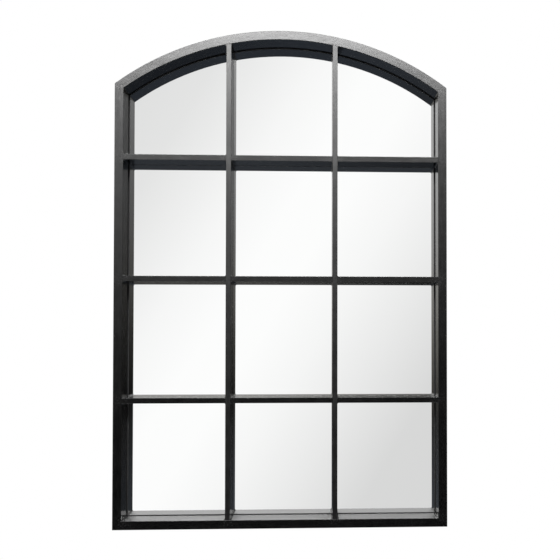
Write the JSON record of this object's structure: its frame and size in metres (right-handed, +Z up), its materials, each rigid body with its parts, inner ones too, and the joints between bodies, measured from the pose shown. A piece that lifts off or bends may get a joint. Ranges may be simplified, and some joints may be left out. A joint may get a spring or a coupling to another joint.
{
  "type": "arched window mirror",
  "caption": "Wall mirror made like an arched window: a deep frame of dark painted steel tube with slim bars that divide one sheet of mirror glass into panes.",
  "frame": {"origin": "bottom centre of the bounding box: the middle of the width, the level of the bottom rail's underside, and halfway between the front faces and the wall", "axes": "+X to the right as the mirror is seen on the wall, +Y from the viewer to the wall, +Z up"},
  "size_m": [0.6096, 0.062, 0.9143],
  "materials": {
    "black_paint": "satin black paint over lengthwise sanded steel",
    "mirror": "silvered float glass",
    "foam_tape": "white foam",
    "hardboard": "smooth brown hardboard",
    "black_rubber": "matt",
    "zinc_steel": "zinc plated",
    "nylon": "natural nylon",
    "bumper_rubber": "soft matt"
  },
  "bodies": {
    "frame": {"arch_tube": "black_paint", "left_stile_tube": "black_paint", "right_stile_tube": "black_paint", "bottom_rail_tube": "black_paint", "left_mullion": "black_paint", "right_mullion": "black_paint", "lower_left_crossbar": "black_paint", "lower_centre_crossbar": "black_paint", "lower_right_crossbar": "black_paint", "middle_left_crossbar": "black_paint", "middle_centre_crossbar": "black_paint", "middle_right_crossbar": "black_paint", "upper_left_crossbar": "black_paint", "upper_centre_crossbar": "black_paint", "upper_right_crossbar": "black_paint", "pane_corner_welds": "black_paint", "mirror_glass": "mirror", "mounting_tape": "foam_tape", "backing_board": "hardboard", "edge_gasket": "black_rubber", "turn_button_washers": "nylon", "turn_button_screws": "zinc_steel", "left_hanger_plate": "zinc_steel", "right_hanger_plate": "zinc_steel", "hanger_screws": "zinc_steel", "wall_bumpers": "bumper_rubber"},
    "left_lower_turn_button": {"left_lower_turn_button": "zinc_steel"},
    "left_upper_turn_button": {"left_upper_turn_button": "zinc_steel"},
    "bottom_left_turn_button": {"bottom_left_turn_button": "zinc_steel"},
    "arch_left_turn_button": {"arch_left_turn_button": "zinc_steel"},
    "right_lower_turn_button": {"right_lower_turn_button": "zinc_steel"},
    "right_upper_turn_button": {"right_upper_turn_button": "zinc_steel"},
    "bottom_right_turn_button": {"bottom_right_turn_button": "zinc_steel"},
    "arch_right_turn_button": {"arch_right_turn_button": "zinc_steel"},
    "left_hanging_ring": {"left_hanging_ring": "zinc_steel"},
    "right_hanging_ring": {"right_hanging_ring": "zinc_steel"}
  },
  "joints": [
    {"name": "left_lower_button_turn", "type": "hinge", "parent": "frame", "child": "left_lower_turn_button", "pos_m": [-0.2968, 0.02675, 0.2], "axis": [0, 1, 0], "range_deg": [-90, 90]},
    {"name": "left_upper_button_turn", "type": "hinge", "parent": "frame", "child": "left_upper_turn_button", "pos_m": [-0.2968, 0.02675, 0.6128], "axis": [0, 1, 0], "range_deg": [-90, 90]},
    {"name": "bottom_left_button_turn", "type": "hinge", "parent": "frame", "child": "bottom_left_turn_button", "pos_m": [-0.13, 0.02675, 0.008], "axis": [0, 1, 0], "range_deg": [-90, 90]},
    {"name": "arch_left_button_turn", "type": "hinge", "parent": "frame", "child": "arch_left_turn_button", "pos_m": [-0.14619, 0.02675, 0.88455], "axis": [0, 1, 0], "range_deg": [-90, 90]},
    {"name": "right_lower_button_turn", "type": "hinge", "parent": "frame", "child": "right_lower_turn_button", "pos_m": [0.2968, 0.02675, 0.2], "axis": [0, 1, 0], "range_deg": [-90, 90]},
    {"name": "right_upper_button_turn", "type": "hinge", "parent": "frame", "child": "right_upper_turn_button", "pos_m": [0.2968, 0.02675, 0.6128], "axis": [0, 1, 0], "range_deg": [-90, 90]},
    {"name": "bottom_right_button_turn", "type": "hinge", "parent": "frame", "child": "bottom_right_turn_button", "pos_m": [0.13, 0.02675, 0.008], "axis": [0, 1, 0], "range_deg": [-90, 90]},
    {"name": "arch_right_button_turn", "type": "hinge", "parent": "frame", "child": "arch_right_turn_button", "pos_m": [0.14619, 0.02675, 0.88455], "axis": [0, 1, 0], "range_deg": [-90, 90]},
    {"name": "left_ring_swing", "type": "hinge", "parent": "frame", "child": "left_hanging_ring", "pos_m": [-0.2953, 0.0285, 0.7028], "axis": [1, 0, 0], "range_deg": [0, 180]},
    {"name": "right_ring_swing", "type": "hinge", "parent": "frame", "child": "right_hanging_ring", "pos_m": [0.2953, 0.0285, 0.7028], "axis": [1, 0, 0], "range_deg": [0, 180]}
  ]
}
